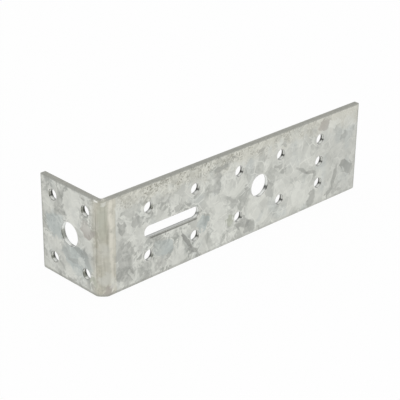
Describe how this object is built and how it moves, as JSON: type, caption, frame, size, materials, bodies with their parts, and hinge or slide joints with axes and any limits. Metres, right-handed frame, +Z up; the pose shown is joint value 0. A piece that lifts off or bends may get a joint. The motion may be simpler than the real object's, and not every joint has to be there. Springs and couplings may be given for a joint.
{
  "type": "joining bracket",
  "caption": "L-shaped joining bracket folded from galvanised steel strip, its long and short flanges punched with nail holes, bolt holes and a slot.",
  "frame": {"origin": "middle of the base of the bounding box, under the bracket as it stands on its edge", "axes": "+X along the long flange away from the fold, +Y along the short flange away from the fold, +Z up across the strip's width"},
  "size_m": [0.179, 0.043, 0.05],
  "materials": {
    "zinc": "hot-dip galvanised with a visible spangle"
  },
  "bodies": {
    "root": {"bracket": "zinc"}
  },
  "joints": []
}
